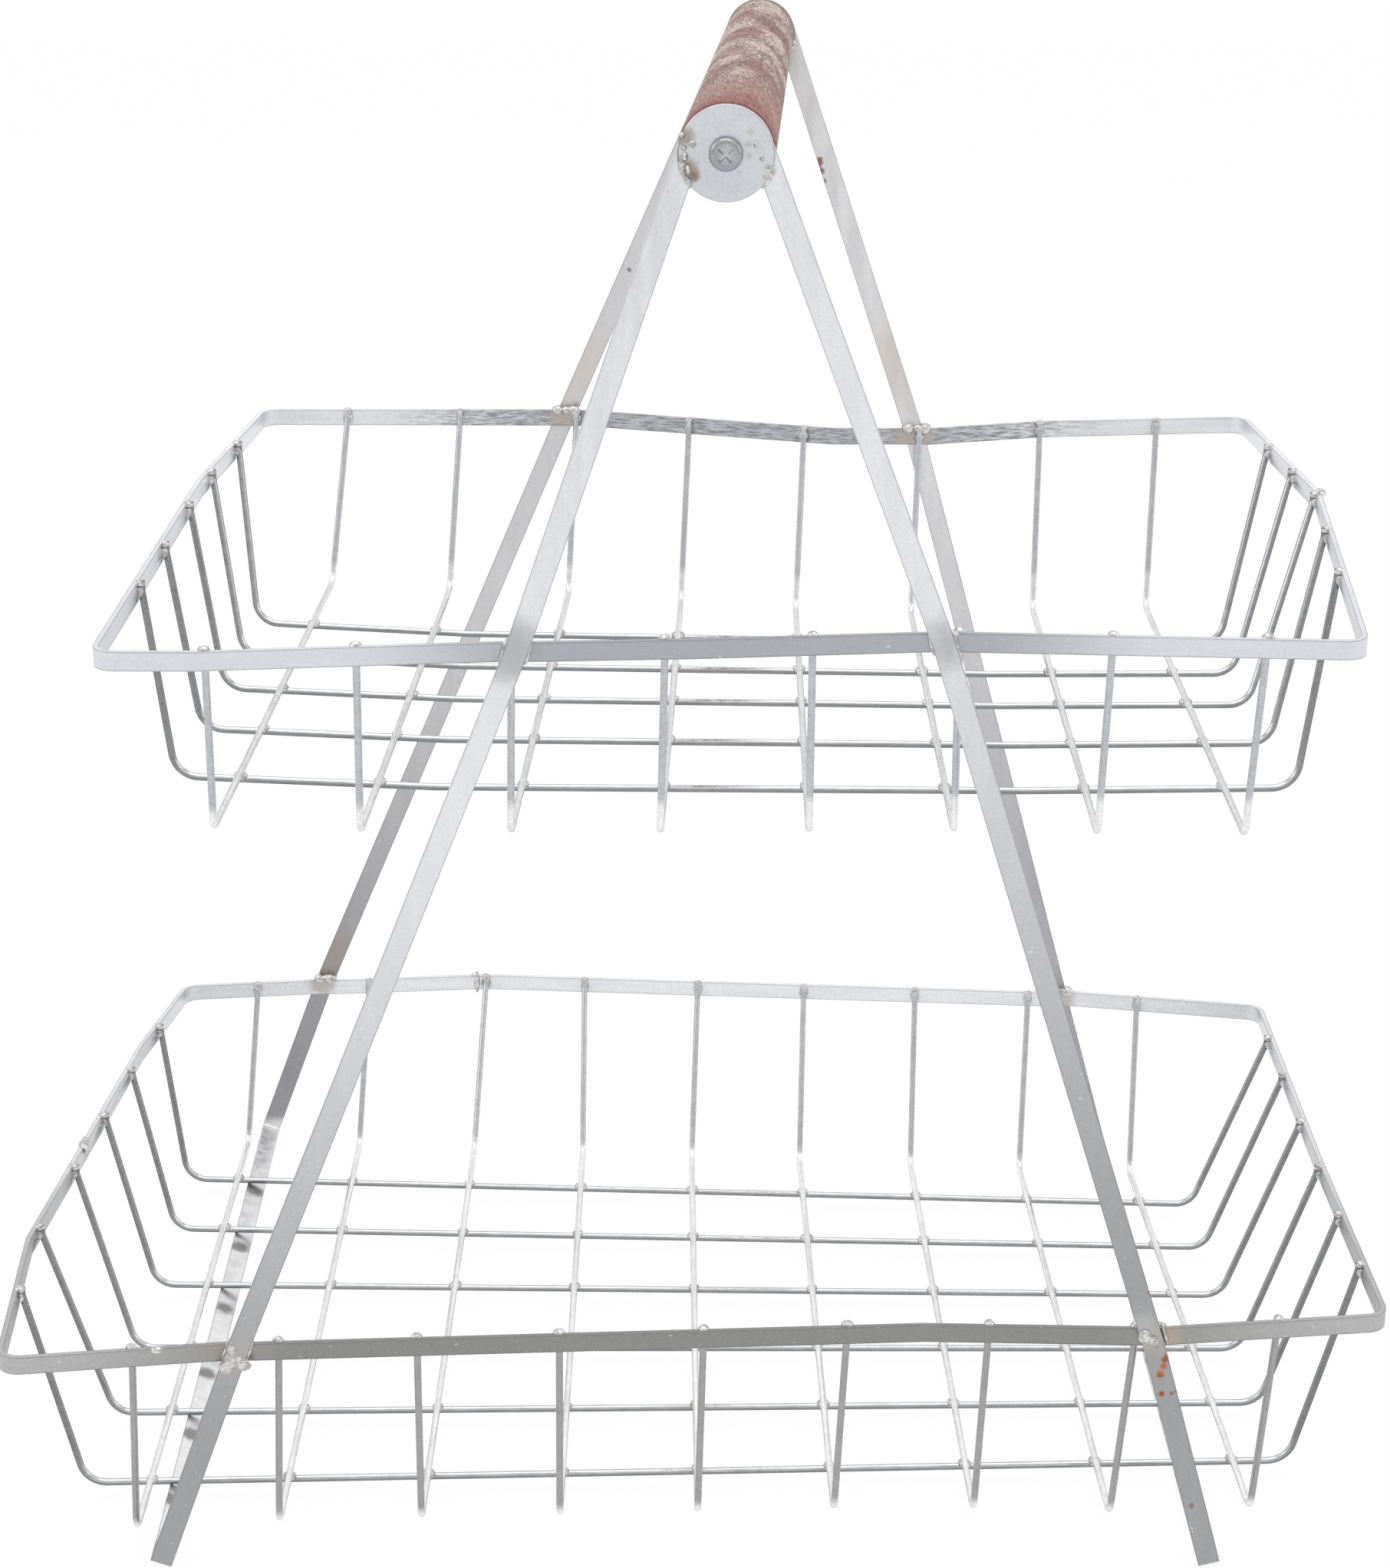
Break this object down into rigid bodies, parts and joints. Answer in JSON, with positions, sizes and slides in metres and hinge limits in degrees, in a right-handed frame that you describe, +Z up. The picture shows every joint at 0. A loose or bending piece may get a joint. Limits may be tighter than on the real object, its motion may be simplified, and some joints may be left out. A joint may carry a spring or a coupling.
{
  "type": "tiered wire basket",
  "caption": "Tiered open wire basket: rectangular wire trays one above the other on bent strap frames, with a turned wooden carrying handle between steel discs.",
  "frame": {"origin": "on the floor under the middle of the bounding box", "axes": "+X along the trays, to the right seen from the front; +Y from front to rear, along the handle; +Z up"},
  "size_m": [0.4578, 0.3314, 0.469],
  "materials": {
    "strap_steel": "galvanised steel strap, satin grey with mottled streaks and brown heat tints at the welds",
    "disc_steel": "zinc-plated steel disc, satin, with faint yellow-brown flux stains",
    "wire_steel": "galvanised steel wire, satin light grey",
    "screw_steel": "bright zinc-plated screw",
    "grip_wood": "turned hardwood with a worn reddish-brown stain and grey speckled grain"
  },
  "bodies": {
    "basket": {"left_leg_frame": "strap_steel", "right_leg_frame": "strap_steel", "upper_rim": "strap_steel", "lower_rim": "strap_steel", "front_end_disc": "disc_steel", "rear_end_disc": "disc_steel", "upper_long_wire_1": "wire_steel", "upper_long_wire_2": "wire_steel", "upper_long_wire_3": "wire_steel", "upper_long_wire_4": "wire_steel", "upper_long_wire_5": "wire_steel", "upper_cross_wire_1": "wire_steel", "upper_cross_wire_2": "wire_steel", "upper_cross_wire_3": "wire_steel", "upper_cross_wire_4": "wire_steel", "upper_cross_wire_5": "wire_steel", "upper_cross_wire_6": "wire_steel", "upper_cross_wire_7": "wire_steel", "upper_cross_wire_8": "wire_steel", "lower_long_wire_1": "wire_steel", "lower_long_wire_2": "wire_steel", "lower_long_wire_3": "wire_steel", "lower_long_wire_4": "wire_steel", "lower_long_wire_5": "wire_steel", "lower_long_wire_6": "wire_steel", "lower_cross_wire_1": "wire_steel", "lower_cross_wire_2": "wire_steel", "lower_cross_wire_3": "wire_steel", "lower_cross_wire_4": "wire_steel", "lower_cross_wire_5": "wire_steel", "lower_cross_wire_6": "wire_steel", "lower_cross_wire_7": "wire_steel", "lower_cross_wire_8": "wire_steel", "lower_cross_wire_9": "wire_steel"},
    "handle": {"handle_grip": "grip_wood", "front_handle_screw": "screw_steel", "rear_handle_screw": "screw_steel"}
  },
  "joints": [
    {"name": "handle_turn", "type": "hinge", "parent": "basket", "child": "handle", "pos_m": [0.00938, -0.13817, 0.4548], "axis": [0.0532, 0.9986, 0], "continuous": true}
  ]
}
